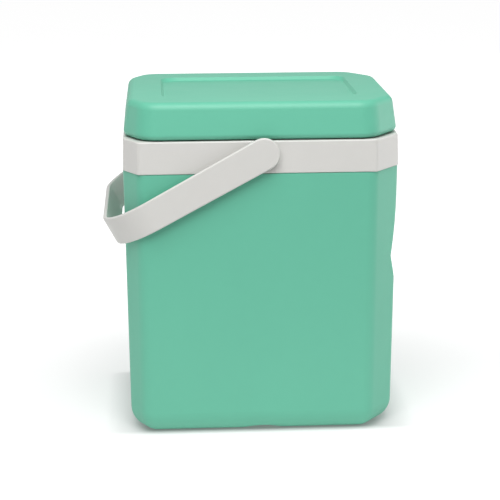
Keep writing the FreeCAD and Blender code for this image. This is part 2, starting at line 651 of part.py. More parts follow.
def bail():
    """Flat strap bent to a U, with round ends, spacers and snap pegs. Drawn level, arms along -X."""
    body = new_body("bail_handle")
    pad(body, "strap", strap_plan(body), STRAP_BLANK, Midplane=True)
    pad(body, "strap_ends", strap_trim(body), "Sizes.body_depth * 2", "Pocket", Midplane=True)
    thickness = size("Sizes.strap_thickness")

    def lengthwise(edge):
        """Every edge but the short ones that cross the strap's thickness."""
        return abs(edge.Length - thickness) > EDGE_TOLERANCE
    fillet(body, "strap_edges", "Sizes.strap_round", lengthwise)

    spacer, joined = f"({HALF_D} + Sizes.seam_gap)", f"({PEG_START} + Sizes.trim_spare)"
    outline = [("0", PEG_END), (BARB_RADIUS, PEG_END), (BARB_RADIUS, BARB_START),
               ("Sizes.peg_radius", BARB_START), ("Sizes.peg_radius", spacer),
               ("Sizes.boss_radius", spacer), ("Sizes.boss_radius", joined), ("0", joined)]
    for side, name in ((1, "back"), (-1, "front")):
        turned(body, f"{name}_peg", [(r, f"{side} * {y}") for r, y in outline])
    raise_to_pivot(body)
    # About -Y, so that the angle stays positive and the left end of the bail goes down.
    body.Placement.Rotation = FreeCAD.Rotation(V(0, -1, 0), size("Sizes.rest_angle"))
    body.setExpression("Placement.Rotation.Angle", "Sizes.rest_angle")
    DOC.recompute()
    return body


# ---------------------------------------------------------------- lid
def lid_blank():
    """Outside of the lid's cover: leaning sides, round top and lower edges, shallow tray in the top."""
    body = new_body("lid_blank")
    low = faceted_outline(body, "low_outline", f"{HALF_W} - Sizes.lid_inset", f"{HALF_D} - Sizes.lid_inset",
                          LID_BASE, "lid_")
    drafted(body, "sides", low, "Sizes.lid_height", "Sizes.lid_lean", "Sizes.lid_height", False)
    fillet(body, "corner_blends", "Sizes.lid_blend", rises)
    fillet(body, "top_edge", "Sizes.lid_top_round", level_at(size(LID_TOP)))
    fillet(body, "low_edge", "Sizes.lid_low_round", level_at(size(LID_BASE)))
    return body


def tray_cutter():
    """The recess in the lid's top."""
    body = new_body("tray_cutter")
    margin_x = f"({HALF_W} - Sizes.lid_inset - Sizes.lid_lean - Sizes.tray_margin_x)"
    margin_y = f"({HALF_D} - Sizes.lid_inset - Sizes.lid_lean - Sizes.tray_margin_y)"
    floor = f"({LID_TOP} - Sizes.tray_depth)"
    low = box_outline(body, "tray_floor", f"{margin_x} - Sizes.tray_slope", f"{margin_y} - Sizes.tray_slope",
                      floor)
    drafted(body, "tray", low, "Sizes.tray_depth", "Sizes.tray_slope", "Sizes.tray_depth", True)
    fillet(body, "tray_corners", "Sizes.tray_corner", climbs(size("Sizes.tray_depth")))
    fillet(body, "tray_floor_edge", "Sizes.tray_soften", level_at(size(floor)))
    return body


def lid_void():
    """Room for the lid's foam, above the inner panel."""
    body = new_body("lid_void")
    wall = "Sizes.lid_wall"
    inset = f"(Sizes.lid_inset + {wall} * (1 + Sizes.lid_lean / Sizes.lid_height))"
    low = faceted_outline(body, "low_outline", f"{HALF_W} - {inset}", f"{HALF_D} - {inset}", PANEL_TOP,
                          "lid_")
    drafted(body, "room", low, f"{LID_VOID_TOP} - {PANEL_TOP}", "Sizes.lid_lean", "Sizes.lid_height", False)
    fillet(body, "corner_blends", f"Sizes.lid_blend - {wall}", rises)
    fillet(body, "top_edge", "Sizes.lid_top_round / 2", level_at(size(LID_VOID_TOP)))
    fillet(body, "low_edge", "Sizes.lid_low_round - Sizes.lid_wall", level_at(size(PANEL_TOP)))
    return body


def panel_plate():
    """The flat of the lid's inner panel, which fills the opening under the cover."""
    body = new_body("panel_plate")
    inset = "(Sizes.lid_inset + Sizes.lid_rim)"
    plate = faceted_outline(body, "plate_outline", f"{HALF_W} - {inset}", f"{HALF_D} - {inset}", LID_BASE,
                            "lid_")
    pad(body, "plate", plate, "Sizes.lid_wall")
    return body


def plug_solid(label, inset, floor, top):
    """The lid's plug, or the room in it: a tapered block with round corners, set in by a distance."""
    body = new_body(label)
    mouth = f"({LINER_IN} + Sizes.plug_gap + {inset})"
    low = box_outline(body, "low_outline", f"{HALF_W} - {mouth} - Sizes.plug_taper",
                      f"{HALF_D} - {mouth} - Sizes.plug_taper", floor)
    height = f"({top} - {floor})"
    drafted(body, "block", low, height, "Sizes.plug_taper", height, True)
    corner = f"Sizes.liner_corner - Sizes.liner_wall - Sizes.plug_gap - {inset}"
    fillet(body, "upright_corners", corner, rises)
    fillet(body, "low_edge", f"Sizes.plug_round - {inset}", level_at(size(floor)))
    return body


def filler_plug(label, floor, wall):
    """Round plug that closes a foam filling hole from below. floor is the face that its head meets."""
    body = new_body(label)
    stem = circle_outline(body, "stem_outline", "Sizes.filler_radius", floor)
    pad(body, "stem", stem, wall)
    head = circle_outline(body, "head_outline", "Sizes.filler_head", f"{floor} - Sizes.head_thickness")
    pad(body, "head", head, "Sizes.head_thickness")
    return body


def filler_hole(label, floor, wall):
    body = new_body(label)
    hole = circle_outline(body, "hole_outline", "Sizes.filler_radius", floor)
    pad(body, "hole", hole, wall)
    return body


# ---------------------------------------------------------------- the cooler
cavity = shell_cavity()
liner_outside = liner_blank()
front_seat = socket("front_socket_seat", -1, bored=False)
back_seat = socket("back_socket_seat", 1, bored=False)

front_notch = notch_cutter("front_notch_cutter", f"{HALF_D} - Sizes.notch_reach")
back_notch = notch_cutter("back_notch_cutter", f"-{HALF_D}")
outer_shell = cut("outer_shell", shell_blank(), cavity, base_cutter(), front_notch, back_notch)
inner_liner = cut("inner_liner", liner_outside, liner_void())
collar = cut("collar", collar_blank(), collar_void(), front_seat, back_seat)
body_insulation = cut("body_insulation", cavity, liner_outside, front_seat, back_seat)
FLOOR_WALL = "Sizes.floor_thickness - Sizes.base_recess"
base_filler_plug = filler_plug("base_filler_plug", "Sizes.base_recess", FLOOR_WALL)
front_pivot_socket = socket("front_pivot_socket", -1)
rear_pivot_socket = socket("rear_pivot_socket", 1)
bail_handle = bail()

PLUG_BASE = f"({LID_BASE} - Sizes.plug_depth)"
lid_room = lid_void()
plug_room = plug_solid("plug_room", "Sizes.liner_wall", f"({PLUG_BASE} + Sizes.liner_wall)", PANEL_TOP)
plate = panel_plate()
lid_cover = cut("lid_cover", lid_blank(), lid_room, plate, tray_cutter())
panel = fuse("panel_blank", plate, plug_solid("plug_blank", "0", PLUG_BASE, PANEL_TOP))
lid_filler_hole = filler_hole("lid_filler_hole", PLUG_BASE, "Sizes.liner_wall")
lid_inner_panel = cut("lid_inner_panel", panel, plug_room, lid_filler_hole)
lid_insulation = fuse("lid_insulation", lid_room, plug_room)
lid_filler_plug = filler_plug("lid_filler_plug", PLUG_BASE, "Sizes.liner_wall")

NODES = [outer_shell, inner_liner, collar, body_insulation, base_filler_plug, front_pivot_socket,
         rear_pivot_socket, bail_handle, lid_cover, lid_inner_panel, lid_insulation, lid_filler_plug]


def write_parts():
    """Check every object of the document, then write each sub-part's solid."""
    DOC.recompute()
    for item in DOC.Objects:
        if "Invalid" in item.State or "Error" in item.State:
            raise RuntimeError(f"{item.Name} failed: {item.State}")
    for node in NODES:
        shape = node.Shape
        if shape.isNull() or not shape.isValid() or not shape.Solids:
            raise RuntimeError(f"{node.Label} has no valid solid")
    os.makedirs("parts", exist_ok=True)
    for node in NODES:
        node.Shape.exportStep(f"parts/{node.Label}.step")
        box = node.Shape.BoundBox
        print(f"{node.Label:20s} solids {len(node.Shape.Solids)} volume {node.Shape.Volume / 1000:9.2f} cm3",
              f"x {box.XMin:7.1f} {box.XMax:7.1f} y {box.YMin:7.1f} {box.YMax:7.1f}",
              f"z {box.ZMin:7.1f} {box.ZMax:7.1f}")


write_parts()
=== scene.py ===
import json
import math

import bpy
from bpy.props import FloatProperty, FloatVectorProperty, IntProperty, PointerProperty
from mathutils import Matrix, Vector


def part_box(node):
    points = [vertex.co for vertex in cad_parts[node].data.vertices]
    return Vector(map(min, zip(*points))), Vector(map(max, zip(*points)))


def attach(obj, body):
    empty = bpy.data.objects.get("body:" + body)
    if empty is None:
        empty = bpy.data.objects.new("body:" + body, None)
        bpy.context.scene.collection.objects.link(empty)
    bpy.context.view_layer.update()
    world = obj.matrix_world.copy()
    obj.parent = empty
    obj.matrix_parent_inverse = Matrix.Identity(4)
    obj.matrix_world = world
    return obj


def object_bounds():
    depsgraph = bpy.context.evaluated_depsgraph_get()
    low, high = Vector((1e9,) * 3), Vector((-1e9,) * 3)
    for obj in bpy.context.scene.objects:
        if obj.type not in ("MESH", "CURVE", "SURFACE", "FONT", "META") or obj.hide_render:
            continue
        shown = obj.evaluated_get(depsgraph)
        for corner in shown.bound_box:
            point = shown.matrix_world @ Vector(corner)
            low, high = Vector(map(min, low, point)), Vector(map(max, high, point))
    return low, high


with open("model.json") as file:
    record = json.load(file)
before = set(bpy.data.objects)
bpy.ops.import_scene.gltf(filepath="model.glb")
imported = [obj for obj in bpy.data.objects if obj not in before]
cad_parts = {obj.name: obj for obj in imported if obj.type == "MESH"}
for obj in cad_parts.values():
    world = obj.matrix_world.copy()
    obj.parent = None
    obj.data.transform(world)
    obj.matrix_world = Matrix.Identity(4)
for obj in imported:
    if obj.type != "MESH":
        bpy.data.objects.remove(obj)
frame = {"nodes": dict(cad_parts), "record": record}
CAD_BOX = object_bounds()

bl_info = {
    "name": "Insulated picnic cooler",
    "version": (1, 0, 0),
    "blender": (4, 5, 0),
    "location": "3D View > Sidebar > Cooler",
    "description": "Finishes, small moulded details and a studio for a picnic cooler",
    "category": "Object",
}

MILLIMETRE = 0.001
SHELL = "cooler_body"
LID = "lid"
NODES = frame["nodes"]
SLOT_OF = {part["node"]: part["material_slot"] for part in frame["record"]["subparts"]}
MATERIALS = {}


# ---------------------------------------------------------------- node trees
class Wire:
    """An output socket. Sums and products of wires and numbers add Math nodes to its tree."""

    def __init__(self, plan, socket):
        self.plan = plan
        self.socket = socket

    def maths(self, operation, *values):
        return self.plan.node("ShaderNodeMath", {"operation": operation}, dict(enumerate(values)))

    def __add__(self, other):
        return self.maths("ADD", self, other)

    def __sub__(self, other):
        return self.maths("SUBTRACT", self, other)

    def __rsub__(self, other):
        return self.maths("SUBTRACT", other, self)

    def __mul__(self, other):
        return self.maths("MULTIPLY", self, other)

    def __truediv__(self, other):
        return self.maths("DIVIDE", self, other)

    def __pow__(self, other):
        return self.maths("POWER", self, other)

    def above(self, level):
        return self.maths("GREATER_THAN", self, level)

    def magnitude(self):
        return self.maths("ABSOLUTE", self)

    def at_least(self, level):
        return self.maths("MAXIMUM", self, level)

    def between_0_and_1(self):
        return self.maths("MINIMUM", self.at_least(0.0), 1.0)

    __radd__ = __add__


class Plan:
    """A shader or geometry tree that is being drawn up."""

    def __init__(self, tree):
        self.tree = tree
        tree.nodes.clear()

    def node(self, kind, settings=None, values=None, output=0):
        """Add a node, make its settings, fill or link its sockets, and hand back one output."""
        made = self.tree.nodes.new(kind)
        for name, value in (settings or {}).items():
            if name == "stops":
                self.set_stops(made.color_ramp.elements, value)
            else:
                setattr(made, name, value)
        for key, value in (values or {}).items():
            self.join(made.inputs[key], value)
        return Wire(self, made.outputs[output]) if len(made.outputs) else made

    def join(self, socket, value):
        if isinstance(value, Wire):
            self.tree.links.new(value.socket, socket)
        else:
            socket.default_value = value

    @staticmethod
    def set_stops(elements, stops):
        while len(elements) < len(stops):
            elements.new(1.0)
        for element, (place, colour) in zip(elements, stops):
            element.position = place
            element.color = colour


class Finish(Plan):
    """A material on Object coordinates."""

    def __init__(self, name):
        self.material = bpy.data.materials.new(name)
        self.material.use_nodes = True
        super().__init__(self.material.node_tree)
        self.place = self.node("ShaderNodeTexCoord", output="Object")

    def noise(self, name):
        """One of the named noises, from 0 to 1."""
        lump, detail, roughness, upright = NOISES[name]
        place = self.place
        if upright is not None:
            place = self.node("ShaderNodeMapping", {},
                              {"Vector": place, "Scale": (1.0, 1.0, upright)})
        return self.node("ShaderNodeTexNoise", {}, {
            "Vector": place, "Scale": 1.0 / lump, "Detail": detail, "Roughness": roughness})

    def cells(self, size):
        """Round cells of a size in metres, 0 in the middle of each."""
        return self.node("ShaderNodeTexVoronoi", {"feature": "F1"},
                         {"Vector": self.place, "Scale": 1.0 / size})

    def axis(self, name):
        """Distance along X, Y or Z, in metres."""
        return self.node("ShaderNodeSeparateXYZ", {}, {0: self.place}, output=name)

    def past(self, axis, limit):
        """How far a place lies past a limit on both sides of an axis, and 0 inside it."""
        return (self.axis(axis).magnitude() - limit).at_least(0.0)

    def tint(self, share, low, high):
        """Colour between two others by a share from 0 to 1."""
        return self.node("ShaderNodeMix", {"data_type": "RGBA"},
                         {0: share, 6: low, 7: high}, output=2)

    def mottled(self, share, colour, name):
        """A colour between the two shades of a named mottling."""
        low, high = MOTTLINGS[name]
        return self.tint(share, shade(colour, low), shade(colour, high))

    def bump(self, height, name, under=None):
        """One of the named reliefs, over another one if that is given."""
        distance, strength = RELIEFS[name]
        values = {"Height": height, "Distance": distance, "Strength": strength}
        if under is not None:
            values["Normal"] = under
        return self.node("ShaderNodeBump", {}, values)

    def plastic(self, colour, roughness, normal, ior, coat=0.0):
        """Close the material with one plastic shader."""
        shader = self.shader = self.tree.nodes.new("ShaderNodeBsdfPrincipled")
        values = {"Base Color": colour, "Roughness": roughness, "Normal": normal, "IOR": ior,
                  "Coat Weight": coat}
        for name, value in values.items():
            self.join(shader.inputs[name], value)
        out = self.tree.nodes.new("ShaderNodeOutputMaterial")
        self.tree.links.new(shader.outputs[0], out.inputs["Surface"])
        return self.material


def shade(colour, factor):
    """A colour made lighter or darker, with its alpha."""
    return tuple(min(1.0, part * factor) for part in colour[:3]) + (1.0,)


def grey(level):
    return (level, level, level, 1.0)


# ---------------------------------------------------------------- finishes
# Size of the lumps in metres, detail, roughness, and the scale of Z that draws them out upright.
NOISES = {
    "flow": (0.075, 3.0, 0.5, 0.45),
    "pigment": (0.012, 4.0, 0.6, None),
    "speck": (0.0009, 1.0, 0.5, None),
    "handling": (0.028, 5.0, 0.65, None),
    "scuff": (0.0028, 3.0, 0.5, 0.16),
    "peel": (0.0065, 2.0, 0.5, None),
    "tool_grain": (0.0006, 2.0, 0.7, None),
    "cloud": (0.06, 3.0, 0.5, None),
    "fleck": (0.004, 3.0, 0.5, None),
    "wiping": (0.0016, 2.0, 0.5, 0.08),
    "foam_skin": (0.03, 4.0, 0.5, None),
    "paper": (0.4, 3.0, 0.5, None),
    "paper_tooth": (0.002, 2.0, 0.5, None),
}
# Height in metres and strength.
RELIEFS = {
    "sink": (0.0016, 0.18),
    "peel": (0.00010, 0.25),
    "shell_grain": (0.00007, 0.35),
    "trim_grain": (0.00005, 0.35),
    "wave": (0.0012, 0.2),
    "drawn": (0.00005, 0.3),
    "foam_rise": (0.004, 0.4),
    "foam_pits": (0.0007, 0.8),
    "paper_tooth": (0.0001, 0.1),
}
# Shades of the colour at the low and the high end of its mottling.
MOTTLINGS = {
    "satin": (0.955, 1.045),
    "liner": (0.96, 1.03),
    "foam": (1.12, 0.72),
}
PLASTIC_IOR = 1.49
FOAM_IOR = 1.45
PAPER_IOR = 1.3

SCUFF_LEVEL = 0.71
SCUFF_TOP = 0.016
SCUFF_SHARE = 0.5
SCUFF_SHADE = 1.16
SCUFF_ROUGHNESS = 0.12
HANDLING_ROUGHNESS = 0.1

LINER_ROUGHNESS = 0.2
CLOUD_ROUGHNESS = 0.08
WIPING_ROUGHNESS = 0.07
LINER_COAT = 0.15

LARGE_CELL = 0.0034
SMALL_CELL = 0.0013
FOAM_ROUGHNESS = 0.72
SKIN_ROUGHNESS = 0.2


def satin_plastic(name, colour, grain, roughness):
    """Satin moulded polypropylene: fine tool grain, slow sink and flow waves, handling marks."""
    finish = Finish(name)
    flow = finish.noise("flow")
    pigment = finish.noise("pigment")
    speck = finish.noise("speck")
    tone = flow * 0.5 + pigment * 0.35 + speck * 0.15
    colour_out = finish.mottled(tone, colour, "satin")

    handling = finish.noise("handling")
    scuff = finish.noise("scuff").above(SCUFF_LEVEL)
    low_down = (1.0 - finish.axis("Z") / SCUFF_TOP).between_0_and_1()
    rubbed = (scuff * low_down * SCUFF_SHARE).between_0_and_1()
    colour_out = finish.tint(rubbed, colour_out, shade(colour, SCUFF_SHADE))
    rough = (roughness - HANDLING_ROUGHNESS / 2 + handling * HANDLING_ROUGHNESS
             + rubbed * SCUFF_ROUGHNESS)

    sink = finish.bump(flow, "sink")
    peel = finish.bump(finish.noise("peel"), "peel", under=sink)
    skin = finish.bump(finish.noise("tool_grain"), grain, under=peel)
    return finish.plastic(colour_out, rough, skin, PLASTIC_IOR)


def liner_plastic(name, colour):
    """Glossy polypropylene, drawn out a little on its uprights, with fine wiping marks."""
    finish = Finish(name)
    cloud = finish.noise("cloud")
    fleck = finish.noise("fleck")
    colour_out = finish.mottled(cloud * 0.7 + fleck * 0.3, colour, "liner")
    wiping = finish.noise("wiping")
    rough = LINER_ROUGHNESS + cloud * CLOUD_ROUGHNESS + wiping * WIPING_ROUGHNESS
    wave = finish.bump(cloud, "wave")
    drawn = finish.bump(wiping, "drawn", under=wave)
    return finish.plastic(colour_out, rough, drawn, PLASTIC_IOR, coat=LINER_COAT)


def rigid_foam(name, colour):
    """Poured rigid foam: closed cells of two sizes under a thin uneven skin."""
    finish = Finish(name)
    large = finish.cells(LARGE_CELL)
    small = finish.cells(SMALL_CELL)
    cells = large * 0.6 + small * 0.4
    skin = finish.noise("foam_skin")
    tone = (cells * 0.9 + skin * 0.5).between_0_and_1()
    colour_out = finish.mottled(tone, colour, "foam")
    rise = finish.bump(skin, "foam_rise")
    pits = finish.bump(1.0 - cells, "foam_pits", under=rise)
    return finish.plastic(colour_out, FOAM_ROUGHNESS + skin * SKIN_ROUGHNESS, pits, FOAM_IOR)


def wear(slot, material):
    """Give every CAD node of a record slot its finish."""
    worn = [node for node, name in SLOT_OF.items() if name == slot]
    if not worn:
        raise RuntimeError(f"no node has the slot {slot}")
    for node in worn:
        for seat in NODES[node].material_slots:
            seat.material = material


# ---------------------------------------------------------------- Geometry Nodes
class Pattern(Plan):
    """A Geometry Nodes tree with named sizes, made into a plain mesh that rides on a body."""

    CORNER_POINTS = 10
    BEVEL_SEGMENTS = 2

    def __init__(self, name):
        tree = bpy.data.node_groups.new(name, "GeometryNodeTree")
        super().__init__(tree)
        tree.interface.new_socket("Geometry", in_out="OUTPUT", socket_type="NodeSocketGeometry")
        self.name = name
        self.entry = tree.nodes.new("NodeGroupInput")
        self.values = {}

    def size(self, name, value, kind="Float"):
        """Add a named input with its value, and hand back its wire."""
        socket = self.tree.interface.new_socket(name, in_out="INPUT",
                                                socket_type=f"NodeSocket{kind}")
        self.values[socket.identifier] = value
        return Wire(self, self.entry.outputs[name])

    def vector(self, x=0.0, y=0.0, z=0.0):
        return self.node("ShaderNodeCombineXYZ", {}, {0: x, 1: y, 2: z})

    def union(self, *shapes):
        made = self.tree.nodes.new("GeometryNodeMeshBoolean")
        made.operation = "UNION"
        made.solver = "EXACT"
        for shape in shapes:
            self.tree.links.new(shape.socket, made.inputs["Mesh 2"])
        return Wire(self, made.outputs["Mesh"])

    def minus(self, base, tool):
        return self.node("GeometryNodeMeshBoolean", {"operation": "DIFFERENCE", "solver": "EXACT"},
                         {"Mesh 1": base, "Mesh 2": tool})

    def moved(self, shape, offset):
        return self.node("GeometryNodeTransform", {}, {"Geometry": shape, "Translation": offset})

    def along(self, points, shape, rotation=None):
        values = {"Points": points, "Instance": shape}
        if rotation is not None:
            values["Rotation"] = rotation
        placed = self.node("GeometryNodeInstanceOnPoints", {}, values)
        return self.node("GeometryNodeRealizeInstances", {}, {"Geometry": placed})

    def rounded_loop(self, width, depth, corner, height):
        """Closed rectangle with round corners, centred over the base at a height."""
        loop = self.node("GeometryNodeCurvePrimitiveQuadrilateral", {"mode": "RECTANGLE"},
                         {"Width": width, "Height": depth})
        rounded = self.node("GeometryNodeFilletCurve", {"mode": "POLY"}, {
            "Curve": loop, "Radius": corner, "Count": self.CORNER_POINTS, "Limit Radius": True})
        return self.moved(rounded, self.vector(z=height))

    def cylinder(self, sides, radius, height):
        return self.node("GeometryNodeMeshCylinder", {"fill_type": "NGON"},
                         {"Vertices": sides, "Radius": radius, "Depth": height})

    def finish(self, shape, slot, body, bevel=0.0):
        """End the tree, make the mesh, and let it ride on a body."""
        realised = self.node("GeometryNodeRealizeInstances", {}, {"Geometry": shape})
        coloured = self.node("GeometryNodeSetMaterial", {},
                             {"Geometry": realised, "Material": MATERIALS[slot]})
        out = self.tree.nodes.new("NodeGroupOutput")
        self.tree.links.new(coloured.socket, out.inputs[0])
        seed = bpy.data.meshes.new(f"{self.name}_seed")
        carrier = bpy.data.objects.new(f"{self.name}_carrier", seed)
        bpy.context.scene.collection.objects.link(carrier)
        modifier = carrier.modifiers.new("pattern", "NODES")
        modifier.node_group = self.tree
        for identifier, value in self.values.items():
            modifier[identifier] = value
        bpy.context.view_layer.update()
        graph = bpy.context.evaluated_depsgraph_get()
        mesh = bpy.data.meshes.new_from_object(carrier.evaluated_get(graph), depsgraph=graph)
        bpy.data.objects.remove(carrier)
        if not mesh.polygons:
            raise RuntimeError(f"{self.name} came out empty")
        mesh.name = self.name
        piece = bpy.data.objects.new(self.name, mesh)
        bpy.context.scene.collection.objects.link(piece)
        if bevel:
            soften = piece.modifiers.new("soft_edges", "BEVEL")
            soften.width = bevel
            soften.segments = self.BEVEL_SEGMENTS
            soften.limit_method = "ANGLE"
        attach(piece, body)
        return piece


# ---------------------------------------------------------------- sizes and colours to change
class CoolerColours(bpy.types.PropertyGroup):
    mint: FloatVectorProperty(
        name="Mint", description="Pigment of the shell and the lid's cover",
        subtype="COLOR", size=4, min=0.0, max=1.0, default=(0.124, 0.474, 0.328, 1.0))
    mint_roughness: FloatProperty(
        name="Mint roughness", description="How matt the shell and the lid are",
        subtype="FACTOR", min=0.0, max=1.0, default=0.48)
    off_white: FloatVectorProperty(
        name="Off-white", description="Pigment of the collar and the bail",
        subtype="COLOR", size=4, min=0.0, max=1.0, default=(0.620, 0.612, 0.588, 1.0))
    off_white_roughness: FloatProperty(
        name="Off-white roughness", description="How matt the collar and the bail are",
        subtype="FACTOR", min=0.0, max=1.0, default=0.42)
    liner: FloatVectorProperty(
        name="Liner", description="Pigment of the liner and the lid's inner panel",
        subtype="COLOR", size=4, min=0.0, max=1.0, default=(0.800, 0.808, 0.800, 1.0))
    foam: FloatVectorProperty(
        name="Foam", description="Colour of the poured foam",
        subtype="COLOR", size=4, min=0.0, max=1.0, default=(0.780, 0.660, 0.400, 1.0))


class CoolerDetails(bpy.types.PropertyGroup):
    ring_width: FloatProperty(
        name="Resting ring", description="Shell's widest outline to the recess under its floor",
        unit="LENGTH", default=37.5 * MILLIMETRE)
    floor_level: FloatProperty(
        name="Floor level", description="Ground to the face of the floor inside the recess",
        unit="LENGTH", default=5.5 * MILLIMETRE)
    rib_height: FloatProperty(
        name="Rib height", description="How far the ribs under the floor stand out",
        unit="LENGTH", default=3.6 * MILLIMETRE)
    rib_width: FloatProperty(
        name="Rib width", description="Thickness of each rib under the floor",
        unit="LENGTH", default=1.6 * MILLIMETRE)
    ribs_across: IntProperty(
        name="Ribs across", description="Ribs under the floor from front to back", default=6)
    ribs_along: IntProperty(
        name="Ribs along", description="Ribs under the floor from side to side", default=4)
    crush_ribs: IntProperty(
        name="Crush ribs", description="Upright ribs round the lid's plug", default=32)
    crush_radius: FloatProperty(
        name="Crush rib radius", description="Radius of each rib round the plug",
        unit="LENGTH", default=1.5 * MILLIMETRE)
    crush_proud: FloatProperty(
        name="Crush rib height", description="How far each rib stands out of the plug",
        unit="LENGTH", default=0.6 * MILLIMETRE)
    bead_radius: FloatProperty(
        name="Bead radius", description="Radius of the bead round the liner's mouth",
        unit="LENGTH", default=1.6 * MILLIMETRE)
    bead_proud: FloatProperty(
        name="Bead height", description="How far that bead stands out of the flange",
        unit="LENGTH", default=0.5 * MILLIMETRE)


class CoolerStudio(bpy.types.PropertyGroup):
    azimuth: FloatProperty(
        name="Azimuth", description="Camera's turn round the cooler, from straight in front",
        subtype="ANGLE", default=math.radians(-3.40))
    elevation: FloatProperty(
        name="Elevation", description="Camera above the horizon", subtype="ANGLE",
        default=math.radians(14.08))
    roll: FloatProperty(
        name="Roll", description="Camera's tilt to one side", subtype="ANGLE",
        default=math.radians(-0.19))
    distance: FloatProperty(
        name="Distance", description="Camera to the point that it looks at", unit="LENGTH",
        default=1.7778)
    lens: FloatProperty(
        name="Lens", description="Focal length, in millimetres on a 36 mm sensor", default=118.8)
    aim: FloatVectorProperty(
        name="Aim", description="Point that the camera looks at, from the middle of the body",
        subtype="TRANSLATION", default=(-0.0070, 0.0, -0.0045))
    key_power: FloatProperty(
        name="Key", description="Large soft light above and in front, in watts", default=27.0)
    right_power: FloatProperty(
        name="Right", description="Soft box at the right, behind, in watts", default=15.0)
    left_power: FloatProperty(
        name="Left", description="Soft box at the left, behind, in watts", default=3.0)
    back_power: FloatProperty(
        name="Back", description="Wide soft box behind, in watts", default=9.0)
    surround: FloatProperty(
        name="Surround", description="Brightness of the white studio all round", default=0.25)
    table_glow: FloatProperty(
        name="Table glow", description="Light that the table gives off, far from the cooler",
        default=0.85)
    near_glow: FloatProperty(
        name="Near glow", description="Share of that light beside the cooler",
        subtype="FACTOR", min=0.0, max=1.0, default=0.60)
    # Reach of the painted shadow: the table's glow is dimmed round the base to paint its contact
    # shadow.
    painted_shadow_reach: FloatProperty(
        name="Glow reach", description="From the base to where the table is out of its shade",
        unit="LENGTH", default=0.045)


# ---------------------------------------------------------------- operators: finishes
class COOLER_OT_mint_shells(bpy.types.Operator):
    """Mint satin plastic for the outer shell and the lid's cover"""
    bl_idname = "cooler.mint_shells"
    bl_label = "Finish shell and lid"

    def execute(self, context):
        colours = context.scene.cooler_colours
        MATERIALS["mint_shell"] = satin_plastic("mint_satin_plastic", colours.mint,
                                                "shell_grain", colours.mint_roughness)
        wear("mint_shell", MATERIALS["mint_shell"])
        return {"FINISHED"}


class COOLER_OT_off_white_parts(bpy.types.Operator):
    """Off-white satin plastic for the collar, the bail, its sockets and the base's filler plug"""
    bl_idname = "cooler.off_white_parts"
    bl_label = "Finish collar and bail"

    def execute(self, context):
        colours = context.scene.cooler_colours
        MATERIALS["off_white"] = satin_plastic("off_white_satin_plastic", colours.off_white,
                                               "trim_grain", colours.off_white_roughness)
        wear("off_white", MATERIALS["off_white"])
        return {"FINISHED"}


class COOLER_OT_liner_parts(bpy.types.Operator):
    """Smooth white plastic for the liner, the lid's inner panel and its filler plug"""
    bl_idname = "cooler.liner_parts"
    bl_label = "Finish liner"

    def execute(self, context):
        colours = context.scene.cooler_colours
        MATERIALS["liner_white"] = liner_plastic("liner_white_plastic", colours.liner)
        wear("liner_white", MATERIALS["liner_white"])
        return {"FINISHED"}


class COOLER_OT_foam_parts(bpy.types.Operator):
    """Poured rigid foam for the insulation of the body and the lid"""
    bl_idname = "cooler.foam_parts"
    bl_label = "Finish insulation"

    def execute(self, context):
        colours = context.scene.cooler_colours
        MATERIALS["foam"] = rigid_foam("rigid_foam", colours.foam)
        wear("foam", MATERIALS["foam"])
        return {"FINISHED"}


# ---------------------------------------------------------------- operators: moulded details
class COOLER_OT_floor_ribs(bpy.types.Operator):
    """Stiffening ribs in the recess under the floor, with a ring round the filler plug"""
    bl_idname = "cooler.floor_ribs"
    bl_label = "Make floor ribs"

    PLUG_GAP = 3 * MILLIMETRE
    RING_SIDES = 64
    SOFT_EDGE = 0.25 * MILLIMETRE

    def execute(self, context):
        details = context.scene.cooler_details
        low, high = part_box("outer_shell")
        plug_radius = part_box("base_filler_plug")[1].x
        width = high.x - low.x - 2 * details.ring_width
        depth = high.y - low.y - 2 * details.ring_width
        pattern = Pattern("floor_ribs")
        wide = pattern.size("Recess width", width)
        deep = pattern.size("Recess depth", depth)
        tall = pattern.size("Rib height", details.rib_height)
        thick = pattern.size("Rib width", details.rib_width)
        across = pattern.size("Ribs across", details.ribs_across, "Int")
        along = pattern.size("Ribs along", details.ribs_along, "Int")
        clear = pattern.size("Ring radius", plug_radius + self.PLUG_GAP)
        level = pattern.size("Floor level", details.floor_level)

        def ranks(count, span, across_x):
            """Ribs at even places across a span, none of them on its ends."""
            step = span / count
            start = step * 0.5 - span * 0.5
            first = pattern.vector(x=start) if across_x else pattern.vector(y=start)
            offset = pattern.vector(x=step) if across_x else pattern.vector(y=step)
            points = pattern.node("GeometryNodeMeshLine", {"mode": "OFFSET"},
                                  {"Count": count, "Start Location": first, "Offset": offset})
            plan = (thick, deep) if across_x else (wide, thick)
            rib = pattern.node("GeometryNodeMeshCube", {}, {"Size": pattern.vector(*plan, tall)})
            return pattern.along(points, rib)

        grid = pattern.union(ranks(across, wide, True), ranks(along, deep, False),
                             pattern.cylinder(self.RING_SIDES, clear + thick, tall))
        ribs = pattern.minus(grid, pattern.cylinder(self.RING_SIDES, clear, tall * 2.0))
        placed = pattern.moved(ribs, pattern.vector(z=level - tall * 0.5))
        pattern.finish(placed, "mint_shell", SHELL, bevel=self.SOFT_EDGE)
        return {"FINISHED"}


